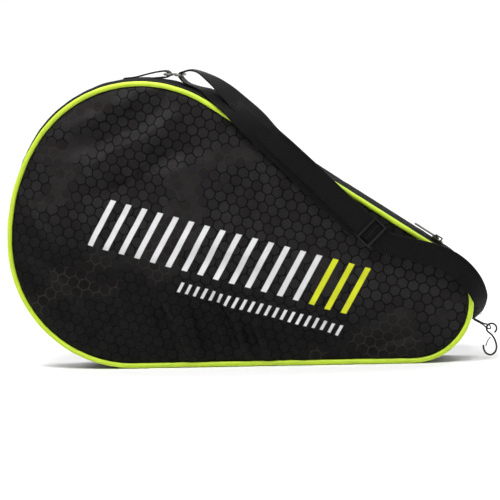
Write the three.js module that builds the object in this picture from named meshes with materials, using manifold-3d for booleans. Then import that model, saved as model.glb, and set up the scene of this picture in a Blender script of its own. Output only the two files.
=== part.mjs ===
// Padded case for a racket-sport paddle: two teardrop shells joined by a zipped gusset, with a
// clip-on shoulder strap and a wire fence hook. Millimetres, +Z up, the front face looks to -Y.
// The case stands on its straight lower side. X is measured from the place where that side
// meets the round head, and at the end the whole group is moved so that the origin lies under
// the middle of its bounding box.
import * as THREE from 'three';
import { mergeVertices } from 'three/addons/utils/BufferGeometryUtils.js';
import Module from 'manifold-3d';

const wasm = await Module();
wasm.setup();

// ---- driving dimensions -------------------------------------------------------------------
// The outline, walked anticlockwise: lower side, tip, upper side, shoulder, crown and heel.
const LOWER_SIDE = 258.3;
const TIP = { radius: 56.2, sweep: 145.6 };
const UPPER_SIDE = 250.8;
const SHOULDER = { radius: 118.8, sweep: 87.9 };
const CROWN = { radius: 173, sweep: 37 };
const HEEL = { radius: 113.4, sweep: 89.5 };
const ARC_STEPS = 20;

// The shells, counted from the middle plane of the case (y = 0) outwards.
const PIPING_RADIUS = 2.25;
const SEAM_Y = 16.25;
const SKIN_Y = 17.6;
const SKIN = 1;
const FOAM = 3;
const LINING = 0.8;
const GAP = 0.4;

const GUSSET = { below: 0.8, thick: 1.2 };
const ZIP_TAPE = { below: 1, thick: 0.8, width: 3.6 };
const ZIP_COIL = { below: 0.1, thick: 2.2, width: 1.3, from: 0.35 };
const ZIP_STOP = 3;

const WEBBING = { width: 20, thick: 1.3 };
const LOOP_TAPE = { width: 13, thick: 1.1 };
const STRAP_Y = -25;
const RETURN_Y = -22;

const DEG = Math.PI / 180;
const ACROSS = new THREE.Vector3(0, 1, 0);

// ---- materials ----------------------------------------------------------------------------
const finish = (color, roughness, metalness = 0) =>
  new THREE.MeshStandardMaterial({ color, roughness, metalness });
const PATTERNED_FABRIC = finish(0x26262a, 0.55);
const GUSSET_FABRIC = finish(0x161617, 0.75);
const WHITE_FOAM = finish(0xd8d8d4, 0.9);
const GREY_LINING = finish(0x3a3b3e, 0.85);
const LIME_PIPING = finish(0xb4d334, 0.5);
const BLACK_BINDING = finish(0x121212, 0.7);
const BLACK_TAPE = finish(0x141414, 0.85);
const BLACK_NYLON = finish(0x0e0e0e, 0.4);
const BLACK_WEBBING = finish(0x1a1a1a, 0.8);
const BLACK_PLASTIC = finish(0x0c0c0c, 0.35);
const DARK_METAL = finish(0x3c3d3c, 0.4, 0.9);
const BLACK_WIRE = finish(0x101011, 0.35, 0.8);

const model = new THREE.Group();

function add(name, geometry, material, parent = model) {
  const mesh = new THREE.Mesh(geometry, material);
  mesh.name = name;
  parent.add(mesh);
  return mesh;
}

// ---- solids -------------------------------------------------------------------------------
function toManifold(geometry) {
  const bare = geometry.clone();
  bare.deleteAttribute('normal');
  bare.deleteAttribute('uv');
  const merged = mergeVertices(bare, 1e-4);
  return new wasm.Manifold(new wasm.Mesh({
    numProp: 3,
    vertProperties: new Float32Array(merged.attributes.position.array),
    triVerts: new Uint32Array(merged.index.array),
  }));
}

function fromManifold(solid) {
  const mesh = solid.getMesh();
  const geometry = new THREE.BufferGeometry();
  geometry.setAttribute('position', new THREE.BufferAttribute(mesh.vertProperties, 3));
  geometry.setIndex(new THREE.BufferAttribute(mesh.triVerts, 1));
  geometry.computeVertexNormals();
  return geometry;
}

function join(...geometries) {
  return fromManifold(geometries.map(toManifold).reduce((a, b) => a.add(b)));
}

function cut(geometry, ...tools) {
  return fromManifold(tools.map(toManifold).reduce((a, b) => a.subtract(b), toManifold(geometry)));
}

// A box given by its lowest and highest corner.
function block([x0, y0, z0], [x1, y1, z1]) {
  const geometry = new THREE.BoxGeometry(x1 - x0, y1 - y0, z1 - z0);
  return geometry.translate((x0 + x1) / 2, (y0 + y1) / 2, (z0 + z1) / 2);
}

// A flat X-Z shape, extruded from y0 to y1.
function plate(shape, y0, y1) {
  const geometry = new THREE.ExtrudeGeometry(shape, { depth: y1 - y0, bevelEnabled: false });
  return geometry.rotateX(Math.PI / 2).translate(0, y1, 0);
}

// Bends a geometry that stands along Y on to a path. frameAt(t) gives the path's point, its
// tangent, and the direction that the geometry's Z takes.
function follow(geometry, frameAt) {
  geometry.computeBoundingBox();
  const { min, max } = geometry.boundingBox;
  const position = geometry.attributes.position;
  const point = new THREE.Vector3();
  for (let i = 0; i < position.count; i++) {
    point.fromBufferAttribute(position, i);
    const { centre, tangent, across } = frameAt((point.y - min.y) / (max.y - min.y));
    const lift = new THREE.Vector3().crossVectors(tangent, across).normalize();
    const { x, z } = point;
    point.copy(centre).addScaledVector(across, z).addScaledVector(lift, x);
    position.setXYZ(i, point.x, point.y, point.z);
  }
  return geometry;
}

// A round wire or bead through flat points. `across` is square to the plane of the points.
function wire(points, radius, sides = 8, across = ACROSS) {
  const last = points.length - 1;
  const geometry = new THREE.CylinderGeometry(radius, radius, 1, sides, last);
  return follow(geometry, (t) => {
    const i = Math.round(t * last);
    const before = points[Math.max(i - 1, 0)];
    const after = points[Math.min(i + 1, last)];
    return { centre: points[i], tangent: after.clone().sub(before).normalize(), across };
  });
}

function smooth(points, steps) {
  const list = points.map(([x, y, z]) => new THREE.Vector3(x, y, z));
  return new THREE.CatmullRomCurve3(list, false, 'centripetal').getPoints(steps);
}

// A flat strap along a route of [x, y, z, twist]. With no twist its width lies along Y, and
// at 90 degrees its width lies in the X-Z plane, so that its face looks along Y.
function ribbon(route, { width, thick }, stepsPerSpan = 4) {
  const spans = route.length - 1;
  const points = route.map(([x, y, z]) => new THREE.Vector3(x, y, z));
  const curve = new THREE.CatmullRomCurve3(points, false, 'centripetal');
  const geometry = new THREE.BoxGeometry(thick, 1, width, 1, spans * stepsPerSpan, 1);
  return follow(geometry, (t) => {
    const span = Math.min(Math.floor(t * spans), spans - 1);
    const mix = t * spans - span;
    const twist = THREE.MathUtils.lerp(route[span][3], route[span + 1][3], mix) * DEG;
    const tangent = curve.getTangent(t);
    const outward = new THREE.Vector3().crossVectors(tangent, ACROSS).normalize();
    const depth = new THREE.Vector3().crossVectors(outward, tangent).normalize();
    const across = depth.multiplyScalar(Math.cos(twist));
    across.addScaledVector(outward, Math.sin(twist));
    return { centre: curve.getPoint(t), tangent, across };
  });
}

// ---- the teardrop outline -----------------------------------------------------------------
// The outline's lines and arcs in the X-Z plane, moved inwards by `inset`.
function outline(inset) {
  const curves = [];
  const at = new THREE.Vector2(0, 0);
  let heading = 0;
  for (const step of [LOWER_SIDE, TIP, UPPER_SIDE, SHOULDER, CROWN, HEEL]) {
    const inward = new THREE.Vector2(-Math.sin(heading), Math.cos(heading));
    if (typeof step === 'number') {
      const from = at.clone().addScaledVector(inward, inset);
      at.x += step * Math.cos(heading);
      at.y += step * Math.sin(heading);
      curves.push(new THREE.LineCurve(from, at.clone().addScaledVector(inward, inset)));
      continue;
    }
    const centre = at.clone().addScaledVector(inward, step.radius);
    const start = heading - Math.PI / 2;
    heading += step.sweep * DEG;
    const end = heading - Math.PI / 2;
    at.set(centre.x + step.radius * Math.cos(end), centre.y + step.radius * Math.sin(end));
    const r = step.radius - inset;
    curves.push(new THREE.EllipseCurve(centre.x, centre.y, r, r, start, end));
  }
  return curves;
}

function pointsAlong(curves) {
  const points = [];
  for (const curve of curves) {
    const part = curve.getPoints(curve.isLineCurve ? 1 : ARC_STEPS);
    points.push(...(points.length ? part.slice(1) : part));
  }
  return points;
}

function teardrop(inset, y0, y1) {
  return plate(new THREE.Shape(pointsAlong(outline(inset)).slice(0, -1)), y0, y1);
}

// The zipped stretch of the rim, from one end of the lower side round to the other, shortened
// by `trim` at both ends.
function zippedRim(inset, trim) {
  const curves = outline(inset).slice(1);
  curves[0].aStartAngle += trim / TIP.radius;
  curves.at(-1).aEndAngle -= trim / HEEL.radius;
  return pointsAlong(curves);
}

function rimStrip({ below, thick }, y0, y1, trim = 0) {
  const outer = zippedRim(below, trim);
  const inner = zippedRim(below + thick, trim).reverse();
  return plate(new THREE.Shape([...outer, ...inner]), y0, y1);
}

// A group on the rim: its Z looks outwards, its Y is the model's Y, and its X points back
// along the walk. `place` runs from 0 to 1 along one of the outline's stretches.
function rimGroup(stretch, place, below = 0) {
  const curve = outline(below)[stretch];
  const point = curve.getPoint(place);
  const tangent = curve.getTangent(place);
  const back = new THREE.Vector3(-tangent.x, 0, -tangent.y);
  const outward = new THREE.Vector3(tangent.y, 0, -tangent.x);
  const group = new THREE.Group();
  group.applyMatrix4(new THREE.Matrix4().makeBasis(back, ACROSS, outward));
  group.position.set(point.x, 0, point.y);
  model.add(group);
  return group;
}

// ---- shells -------------------------------------------------------------------------------
// Orders two distances from the middle plane for the front (side -1) or the rear (side 1).
const facing = (side, near, far) => (side < 0 ? [-far, -near] : [near, far]);

function shell(side, name) {
  const inset = 2 * PIPING_RADIUS + GAP;
  const skin = SKIN_Y - SKIN;
  const foam = skin - GAP - FOAM;
  const lining = foam - GAP - LINING;
  add(`${name}_outer_panel`, teardrop(inset, ...facing(side, skin, SKIN_Y)), PATTERNED_FABRIC);
  add(`${name}_foam_pad`, teardrop(inset + 1, ...facing(side, foam, foam + FOAM)), WHITE_FOAM);
  add(`${name}_lining`, teardrop(inset + 1, ...facing(side, lining, lining + LINING)),
    GREY_LINING);
}

// A round bead sewn into the seam all round, its two ends butted at `joint` on the lower side.
function seamBead(y, joint) {
  const round = pointsAlong(outline(PIPING_RADIUS)).slice(1);
  const ends = [joint + GAP, joint].map((x) => new THREE.Vector2(x, PIPING_RADIUS));
  const flat = [ends[0], ...round, ends[1]];
  return wire(flat.map((p) => new THREE.Vector3(p.x, y, p.y)), PIPING_RADIUS);
}

// ---- gusset and zip -----------------------------------------------------------------------
function gussetHalf(side, name) {
  const coil = ZIP_COIL.from + ZIP_COIL.width;
  const tape = coil + GAP + ZIP_TAPE.width;
  const seam = SEAM_Y - PIPING_RADIUS - GAP;
  const trim = ZIP_STOP + 2 * GAP;
  add(`${name}_gusset_band`, rimStrip(GUSSET, ...facing(side, tape + GAP, seam)), GUSSET_FABRIC);
  add(`${name}_zip_tape`, rimStrip(ZIP_TAPE, ...facing(side, coil + GAP, tape)), BLACK_TAPE);
  add(`${name}_zip_coil`, rimStrip(ZIP_COIL, ...facing(side, ZIP_COIL.from, coil), trim),
    BLACK_NYLON);
}

function bottomGusset() {
  const half = SEAM_Y - PIPING_RADIUS - GAP;
  const sheet = block([GAP, -half, 0], [LOWER_SIDE - GAP, half, GUSSET.thick]);
  add('bottom_gusset', sheet, GUSSET_FABRIC);
}

// Crimped stops that fill the chain's ends: one on each coil at the tip, and a box that
// holds both coils together at the head.
function zipStops() {
  const middle = ZIP_COIL.below + ZIP_COIL.thick / 2;
  const half = ZIP_STOP / 2;
  const coil = ZIP_COIL.from + ZIP_COIL.width;
  const atTip = (half + GAP) / (TIP.radius * TIP.sweep * DEG);
  const atHead = 1 - (half + GAP) / (HEEL.radius * HEEL.sweep * DEG);
  const tip = rimGroup(1, atTip, middle);
  const head = rimGroup(5, atHead, middle);
  const clip = (y0, y1) => block([-half, y0, -0.9], [half, y1, 0.9]);
  add('front_zip_top_stop', clip(-coil, -ZIP_COIL.from), DARK_METAL, tip);
  add('rear_zip_top_stop', clip(ZIP_COIL.from, coil), DARK_METAL, tip);
  add('zip_bottom_stop', clip(-coil, coil), DARK_METAL, head);
}

// The slider runs on the outside of the chain and hooks over the rear coil's edge. It keeps
// clear of the front coil, which lifts a little as the front cover starts to open.
function zipSlider() {
  const parked = 10 / UPPER_SIDE;
  const group = rimGroup(2, parked);
  const plateBottom = 1.6;
  const plateTop = 2.8;
  const body = block([-5.5, -3.4, plateBottom], [5.5, 3.4, plateTop]);
  const flange = block([-5.5, 2.1, -0.6], [5.5, 3.4, plateBottom + 0.1]);
  const arch = block([-3.8, -1.2, plateTop - 0.1], [3.8, 1.2, 5.8]);
  const eye = block([-2.6, -2, plateTop], [2.6, 2, 4.8]);
  add('zip_slider', join(body, flange, cut(arch, eye)), DARK_METAL, group);
  const grip = block([-25, -3, 3.2], [0.6, 3, 4.4]);
  const slot = block([-4.6, -1.8, 3], [-0.6, 1.8, 5]);
  const hole = new THREE.CylinderGeometry(1.3, 1.3, 4, 12).rotateX(Math.PI / 2);
  add('zip_pull', cut(grip, slot, hole.translate(-21, 0, 4)), DARK_METAL, group);
}

// ---- shoulder strap -----------------------------------------------------------------------
// The webbing comes up from the tri-glide, turns edge-on over the shoulder, wraps the bar of
// the snap hook and comes back along the gusset as the return layer.
const HOOK_END = [
  [172, STRAP_Y, 178, -90],
  [152, STRAP_Y, 198, -90],
  [138, -22.5, 211, -84],
  [126, -18, 225, -68],
  [112, -13, 239, -50],
  [98, -8, 253, -32],
  [85, -4, 263.5, -15],
  [74, -1, 270, 0],
  [65, 0, 272, 0],
  [59.8, 0, 270.9, 0],
  [57, 0, 270.1, 0],
  [55.9, 0, 268, 0],
  [56.8, 0, 265.6, 0],
  [59.4, 0, 262.4, 0],
  [63, 0, 259.6, 0],
  [70, 0, 256.8, 0],
  [80, -3, 253, 12],
  [92, -10.5, 246.5, 32],
  [105, -17, 237, 55],
  [118, -20.5, 224, 76],
  [131, RETURN_Y, 211, 90],
  [145, RETURN_Y, 197, 90],
  [161, RETURN_Y, 180, 90],
];
const MIDDLE = [
  [173, STRAP_Y, 177, 90],
  [190, STRAP_Y, 159.3, 90],
  [208, STRAP_Y, 140.7, 90],
  [226, STRAP_Y, 122, 90],
  [232, STRAP_Y, 115.8, 90],
  [240, STRAP_Y, 111.4, 90],
  [249, STRAP_Y, 108, 90],
  [260, STRAP_Y, 104, 90],
];
const RETURN = [
  [174, RETURN_Y, 166.7, 90],
  [186, RETURN_Y, 154.3, 90],
  [198, RETURN_Y, 142, 90],
  [216, RETURN_Y, 123.5, 90],
];
const SEWN_END = [
  [261.5, STRAP_Y, 103.5, 90],
  [279, -24.8, 97, 88],
  [292, -24.2, 89.5, 78],
  [305, -22.6, 79.5, 58],
  [317, -16.4, 67.5, 36],
  [322.4, -7, 57, 14],
  [322.4, -1, 49.4, 0],
  [319.4, 0, 43.4, 0],
  [316.6, 0, 40.2, 0],
];

function strap() {
  add('strap_hook_end', ribbon(HOOK_END, WEBBING), BLACK_WEBBING);
  add('strap_middle', ribbon(MIDDLE, WEBBING), BLACK_WEBBING);
  add('strap_return_layer', ribbon(RETURN, WEBBING, 2), BLACK_WEBBING);
  add('strap_sewn_end', ribbon(SEWN_END, WEBBING), BLACK_WEBBING);
}

// The tri-glide's outer bars lie in front of the webbing and its middle bar behind it. Its X
// runs along the webbing.
function triGlide() {
  const [x, y, z] = MIDDLE[3];
  const [x0, , z0] = MIDDLE[0];
  const group = new THREE.Group();
  group.position.set(x, y, z);
  group.rotation.y = Math.atan2(z0 - z, x - x0);
  model.add(group);
  const inside = WEBBING.width / 2 + GAP + 0.2;
  const face = WEBBING.thick / 2 + GAP;
  const body = block([-7.5, -2.3, -12.2], [7.5, 2, 12.2]);
  const slots = [-1, 1].map((side) => block(
    [Math.min(side * 1.5, side * 5.3), -3, -inside],
    [Math.max(side * 1.5, side * 5.3), 3, inside],
  ));
  const behindOuterBars = [-1, 1].map((side) => block(
    [Math.min(side * 5.2, side * 8), -face, -inside],
    [Math.max(side * 5.2, side * 8), 3, inside],
  ));
  const overMiddleBar = block([-1.6, -3, -inside], [1.6, face, inside]);
  add('tri_glide', cut(body, ...slots, ...behindOuterBars, overMiddleBar), BLACK_PLASTIC, group);
}

// ---- top loop and snap hook ---------------------------------------------------------------
// A loop of narrow webbing, both ends sewn flat on the gusset at the top of the head.
const TOP_LOOP = [
  [3, 0, 265.6, 0],
  [14, 0, 266, 0],
  [26, 0, 266.2, 0],
  [38, 0, 266.6, 0],
  [44, 0, 267, 0],
  [46.4, 0, 269.4, 0],
  [44, 0, 272, 0],
  [36, 0, 272, 0],
  [25, 0, 270.2, 0],
  [14, 0, 267.9, 0],
  [4, 0, 267.2, 0],
];
const HOOK_BAR = 1.1;
const HOOK_HALF_WIDTH = 8.6;

function snapHook() {
  add('top_loop', ribbon(TOP_LOOP, LOOP_TAPE), BLACK_WEBBING);
  const group = new THREE.Group();
  group.position.set(42.8, 0, 269.5);
  group.rotation.y = 5 * DEG;
  model.add(group);
  const half = HOOK_HALF_WIDTH;
  const flat = (points) => points.map(([x, y]) => new THREE.Vector3(x, y, 0));
  const side = new THREE.Vector3(0, 0, 1);
  const hook = [[1.4, half], [0.6, half - 0.3], [0, half - 1.2], [0, 1 - half], [1, -half],
    [5.4, -half], [6.4, 1 - half], [6.4, half - 1.8]];
  add('snap_hook_body', wire(flat(hook), HOOK_BAR, 8, side), DARK_METAL, group);
  add('snap_hook_gate', wire(flat([[2, half], [6.2, half]]), 0.8, 8, side), DARK_METAL, group);
  const post = new THREE.CylinderGeometry(1.3, 1.3, 1.4, 12).rotateZ(Math.PI / 2);
  add('snap_hook_swivel_post', post.translate(8.6, 0, 0), DARK_METAL, group);
  const reach = WEBBING.width / 2 + 2.2;
  const eye = [[10.8, 0.2], [10.8, reach - 1], [11.8, reach], [14.6, reach], [15.6, reach - 1],
    [15.6, 1 - reach], [14.6, -reach], [11.8, -reach], [10.8, 1 - reach], [10.8, -0.2]];
  add('snap_hook_strap_eye', wire(flat(eye), HOOK_BAR, 8, side), DARK_METAL, group);
}

// ---- fence hook ---------------------------------------------------------------------------
const FENCE_EYE = { x: 329, z: 27.4, radius: 4.5 };
const FENCE_WIRE = 0.85;
const FENCE_PEAR = [
  [328.9, 0, 21.6], [331.2, 0, 17.8], [332.6, 0, 13.4], [332.9, 0, 9.6], [331.4, 0, 5.4],
  [327.6, 0, 3], [323.6, 0, 4.4], [321.6, 0, 7.8], [321.2, 0, 11.2],
];

// A band of tape sewn in a flat loop, its outer end round the hook's eye.
function fenceLoop() {
  const group = new THREE.Group();
  const slope = 30 * DEG;
  const x = FENCE_EYE.x - FENCE_EYE.radius * Math.cos(slope);
  const z = FENCE_EYE.z + FENCE_EYE.radius * Math.sin(slope);
  group.position.set(x, 0, z);
  group.rotation.y = slope;
  model.add(group);
  const outer = block([-12.6, -2.3, -1.2], [4.2, 2.3, 1.2]);
  const inner = block([-11.4, -1.4, -2], [3.2, 1.4, 2]);
  add('fence_hook_loop', cut(outer, inner), BLACK_WEBBING, group);
}

// One wire forms the round eye and the pear-shaped hook. A thinner spring wire closes it.
function fenceHook() {
  const eye = [];
  for (let angle = -58; angle <= 240; angle += 24.8) {
    const x = FENCE_EYE.x + FENCE_EYE.radius * Math.cos(angle * DEG);
    const z = FENCE_EYE.z + FENCE_EYE.radius * Math.sin(angle * DEG);
    eye.push(new THREE.Vector3(x, 0, z));
  }
  const bend = smooth(FENCE_PEAR, 26);
  add('fence_hook_body', wire([...eye, ...bend], FENCE_WIRE), BLACK_WIRE);
  const gate = smooth([[327.9, 0, 19.6], [325.2, 0, 16], [323.4, 0, 11.4]], 8);
  add('fence_hook_gate', wire(gate, 0.5, 6), BLACK_WIRE);
}

shell(-1, 'front');
shell(1, 'rear');
add('front_piping', seamBead(-SEAM_Y, 205), LIME_PIPING);
add('rear_binding', seamBead(SEAM_Y, 150), BLACK_BINDING);
gussetHalf(-1, 'front');
gussetHalf(1, 'rear');
bottomGusset();
zipStops();
zipSlider();
strap();
triGlide();
snapHook();
fenceLoop();
fenceHook();

const box = new THREE.Box3().setFromObject(model, true);
const centre = box.getCenter(new THREE.Vector3());
model.position.set(-centre.x, -centre.y, -box.min.z);

export default model;
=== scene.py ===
import math

import bpy
import numpy as np
from mathutils import Matrix, Vector, noise


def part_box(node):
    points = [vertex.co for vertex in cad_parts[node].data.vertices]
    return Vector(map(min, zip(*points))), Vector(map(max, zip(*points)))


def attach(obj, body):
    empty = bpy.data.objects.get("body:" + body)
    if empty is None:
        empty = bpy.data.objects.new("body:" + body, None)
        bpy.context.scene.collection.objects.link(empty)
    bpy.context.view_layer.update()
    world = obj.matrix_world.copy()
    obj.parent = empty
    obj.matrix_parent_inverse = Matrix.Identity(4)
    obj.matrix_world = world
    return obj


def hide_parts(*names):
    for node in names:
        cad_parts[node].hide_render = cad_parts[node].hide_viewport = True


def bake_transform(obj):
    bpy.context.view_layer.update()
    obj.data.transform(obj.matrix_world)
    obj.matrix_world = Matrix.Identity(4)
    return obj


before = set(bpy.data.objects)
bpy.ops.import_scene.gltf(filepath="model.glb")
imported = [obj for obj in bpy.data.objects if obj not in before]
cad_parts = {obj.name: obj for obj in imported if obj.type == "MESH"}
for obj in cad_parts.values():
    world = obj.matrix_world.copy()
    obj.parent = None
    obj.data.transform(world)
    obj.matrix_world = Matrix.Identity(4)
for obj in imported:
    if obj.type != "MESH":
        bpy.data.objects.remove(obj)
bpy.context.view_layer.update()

# ---- driving dimensions, in millimetres ----------------------------------------------------
# The rim is walked anticlockwise from the foot of the head: straight stretches are lengths,
# arcs are (radius, sweep in degrees). X runs to the tip, Y to the rear, Z up, and y = 0 is the
# middle plane of the case.
LOWER_SIDE = 258.3
RIM = (LOWER_SIDE, (56.2, 145.6), 250.8, (118.8, 87.9), (173.0, 37.0), (113.4, 89.5))
CAD_GAP = 0.4
SEAM_Y = 16.25
CORD = 2.25
SKIN_FACE = 17.6
SKIN_THICK = 1.0
PANEL_INSET = 4.4
ZIP_HALF = 1.75
TAPE_EDGE = 6.0
PATTERN_TILT = math.radians(16.6)
FOLD_RISE = 2.1
WEBBING_WIDTH = 20.0
WEBBING_THICK = 1.3
RIB_PITCH = 2.1
STRAP_Y = -25.0
RETURN_Y = -22.0
FOAM_BACK = 13.25
LINING_FACE = 11.3
HEX_PITCH = 9.9
FENCE_EYE = (329.0, 27.4, 4.5)
FENCE_WIRE = 0.85
FENCE_GATE_WIRE = 0.5
HOOK_WIRE = 1.1
HOOK_GATE_WIRE = 0.8

# Places of the printed rows on the tilted axes, from the frame's origin: the white row's
# ends, the lime row's end, and for each row its low and high edge, pitch, bar width and lean.
WHITE_BARS = (-196.0, 14.0)
LIME_END = 59.0
SMALL_BARS = (-98.0, 60.0)
BAR_ROWS = ((71.0, 117.0, 15.0, 5.2, 0.25), (50.0, 60.0, 7.5, 2.8, 0.25))

# Folds of the front fabric: (x, z) at both ends, half width and height. Each ridge has a dent
# on its right-hand side, looking from the first end to the second. A negative height is a dent.
FRONT_FOLDS = (
    ((44, 252), (-46, 208), 10, -3.0),
    ((66, 236), (-30, 188), 15, 2.8),
    ((56, 214), (-24, 166), 12, -3.2),
    ((108, 222), (64, 246), 10, -2.2),
    ((96, 196), (20, 176), 14, 2.2),
    ((116, 176), (84, 146), 10, -2.0),
    ((146, 186), (134, 128), 10, 2.2),
    ((172, 150), (196, 104), 11, -2.2),
    ((-70, 200), (-20, 120), 12, 2.0),
    ((4, 60), (-34, 18), 9, 2.2),
    ((176, 60), (196, 8), 8, 2.0),
    ((30, 70), (56, 0), 8, 3.4),
    ((84, 74), (106, 8), 6, 3.6),
    ((112, 50), (126, 2), 6, 3.0),
    ((58, 62), (76, 2), 7, -2.2),
    ((212, 12), (262, 26), 8, -2.6),
    ((150, 40), (158, 0), 8, 2.0),
    ((-96, 176), (-60, 120), 10, 1.8),
    ((-88, 112), (-40, 60), 11, 2.2),
    ((-30, 120), (40, 96), 14, 2.0),
    ((60, 120), (130, 96), 12, 2.0),
    ((206, 96), (262, 70), 10, 1.8),
    ((270, 88), (284, 40), 9, 1.6),
    ((-6, 250), (30, 226), 8, 1.8),
)
REAR_FOLDS = (
    ((20, 210), (70, 150), 12, 2.6),
    ((-60, 150), (-20, 90), 12, 2.4),
    ((100, 190), (130, 120), 11, 2.4),
    ((60, 60), (84, 4), 9, 2.6),
    ((160, 90), (216, 60), 11, 2.0),
    ((-20, 60), (10, 8), 9, 2.2),
    ((190, 130), (240, 96), 9, 1.8),
)


def cad_origin():
    """Where the rim's start, on the middle plane, lies in the frame, in metres."""
    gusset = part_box("bottom_gusset")
    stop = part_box("zip_bottom_stop")
    return Vector((gusset[0].x - CAD_GAP / 1000, (stop[0].y + stop[1].y) / 2, 0))


ORIGIN = cad_origin()


def place(x, y, z):
    """A point in millimetres on the rim's axes, as a point of the frame in metres."""
    return Vector((x / 1000, y / 1000, z / 1000)) + ORIGIN


# ---- the rim -------------------------------------------------------------------------------
def rim_stretches():
    """Each stretch of the rim as its length, radius, start point and start heading."""
    stretches = []
    x, z, heading = 0.0, 0.0, 0.0
    for step in RIM:
        if isinstance(step, tuple):
            radius, sweep = step[0], math.radians(step[1])
            stretches.append((radius * sweep, radius, x, z, heading))
            x += radius * (math.sin(heading + sweep) - math.sin(heading))
            z += radius * (math.cos(heading) - math.cos(heading + sweep))
            heading += sweep
        else:
            stretches.append((step, None, x, z, heading))
            x += step * math.cos(heading)
            z += step * math.sin(heading)
    return stretches


STRETCHES = rim_stretches()
RIM_LENGTH = sum(stretch[0] for stretch in STRETCHES)


def rim(walk, inset):
    """The rim's (x, z) after a walk of that length, moved inwards, and its heading there."""
    walk %= RIM_LENGTH
    for length, radius, x, z, heading in STRETCHES:
        if walk <= length:
            break
        walk -= length
    if radius is None:
        x += walk * math.cos(heading)
        z += walk * math.sin(heading)
    else:
        turned = heading + walk / radius
        x += radius * (math.sin(turned) - math.sin(heading))
        z += radius * (math.cos(heading) - math.cos(turned))
        heading = turned
    return x - inset * math.sin(heading), z + inset * math.cos(heading), heading


RIM_POINTS = np.array([rim(i * RIM_LENGTH / 1400, 0)[:2] for i in range(1400)])


def depth_inside(x, z):
    """How far inside the rim each point lies."""
    found = np.empty(len(x))
    for i in range(0, len(x), 4000):
        part = slice(i, i + 4000)
        dx = x[part, None] - RIM_POINTS[None, :, 0]
        dz = z[part, None] - RIM_POINTS[None, :, 1]
        found[part] = np.sqrt((dx * dx + dz * dz).min(axis=1))
    return found


def ease(value, low, high):
    t = np.clip((value - low) / (high - low), 0, 1)
    return t * t * (3 - 2 * t)


# ---- meshes --------------------------------------------------------------------------------
def build(name, points, faces, material, uvs=None, smooth=True):
    """A mesh object from millimetre points, with an optional UV pair for each point."""
    mesh = bpy.data.meshes.new(name)
    mesh.from_pydata([place(*p) for p in points], [], faces)
    mesh.materials.append(material)
    if uvs is not None:
        layer = mesh.uv_layers.new(name="UVMap")
        corners = np.empty(len(mesh.loops), dtype=np.int32)
        mesh.loops.foreach_get("vertex_index", corners)
        layer.data.foreach_set("uv", np.asarray(uvs, dtype=np.float32)[corners].ravel())
    mesh.polygons.foreach_set("use_smooth", [smooth] * len(mesh.polygons))
    mesh.update()
    piece = bpy.data.objects.new(name, mesh)
    bpy.context.scene.collection.objects.link(piece)
    return piece


def grid_faces(rows, columns, closed_rows=False, closed_columns=False, first=0):
    faces = []
    for i in range(rows if closed_rows else rows - 1):
        for j in range(columns if closed_columns else columns - 1):
            below = (i + 1) % rows
            right = (j + 1) % columns
            faces.append((first + i * columns + j, first + i * columns + right,
                          first + below * columns + right, first + below * columns + j))
    return faces


def loft(name, rings, material, closed=False):
    """A skin through closed rings of points. UV is (mm along, mm round). Its ends are capped."""
    rows, columns = len(rings), len(rings[0])
    rings = np.array(rings, dtype=float)
    along = np.zeros(rows)
    centres = rings.mean(axis=1)
    along[1:] = np.cumsum(np.linalg.norm(np.diff(centres, axis=0), axis=1))
    sides = np.roll(rings, -1, axis=1) - rings
    round_it = np.concatenate([[0], np.cumsum(np.linalg.norm(sides[0], axis=1))[:-1]])
    uvs = [(u, v) for u in along for v in round_it]
    faces = grid_faces(rows, columns, closed, True)
    if not closed:
        faces.append(tuple(range(columns))[::-1])
        faces.append(tuple((rows - 1) * columns + j for j in range(columns)))
    piece = build(name, rings.reshape(-1, 3), faces, material, uvs)
    face_outwards(piece)
    return piece


def select(pieces):
    """Selects these pieces and makes the first one active."""
    for other in bpy.context.selected_objects:
        other.select_set(False)
    for piece in pieces:
        piece.select_set(True)
    bpy.context.view_layer.objects.active = pieces[0]


def face_outwards(piece):
    select([piece])
    bpy.ops.object.mode_set(mode="EDIT")
    bpy.ops.mesh.select_all(action="SELECT")
    bpy.ops.mesh.normals_make_consistent(inside=False)
    bpy.ops.object.mode_set(mode="OBJECT")


def joined(name, pieces):
    """Joins the pieces' meshes into the first one."""
    select(pieces)
    bpy.ops.object.join()
    pieces[0].name = name
    return pieces[0]


def spline(route, steps):
    """Centripetal curve through the route's points. Every coordinate is carried along."""
    route = np.array(route, dtype=float)
    ends = [2 * route[0] - route[1]], [2 * route[-1] - route[-2]]
    knots = np.concatenate([ends[0], route, ends[1]])
    gaps = np.linalg.norm(np.diff(knots[:, :3], axis=0), axis=1) ** 0.5
    points = []
    for i in range(1, len(knots) - 2):
        a, b, c = gaps[i - 1], gaps[i], gaps[i + 1]
        p0, p1, p2, p3 = knots[i - 1:i + 3]
        m1 = (p1 - p0) / a - (p2 - p0) / (a + b) + (p2 - p1) / b
        m2 = (p2 - p1) / b - (p3 - p1) / (b + c) + (p3 - p2) / c
        for t in np.arange(steps) / steps:
            points.append((2 * t**3 - 3 * t**2 + 1) * p1 + (t**3 - 2 * t**2 + t) * m1 * b
                          + (3 * t**2 - 2 * t**3) * p2 + (t**3 - t**2) * m2 * b)
    points.append(route[-1])
    return np.array(points)


def evenly(points, pitch):
    """The same path with its points spaced evenly, `pitch` apart."""
    lengths = np.concatenate([[0], np.cumsum(np.linalg.norm(np.diff(points[:, :3], axis=0),
                                                            axis=1))])
    count = max(2, round(lengths[-1] / pitch) + 1)
    walk = np.linspace(0, lengths[-1], count)
    return np.stack([np.interp(walk, lengths, points[:, k]) for k in range(points.shape[1])], 1)


def stand_in(piece, slot, body, *nodes):
    """Puts a piece in the place of its CAD nodes, on the body it rides on. The slot for its finish
    is not used.
    """
    if nodes:
        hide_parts(*nodes)
    if body:
        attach(piece, body)


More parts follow.
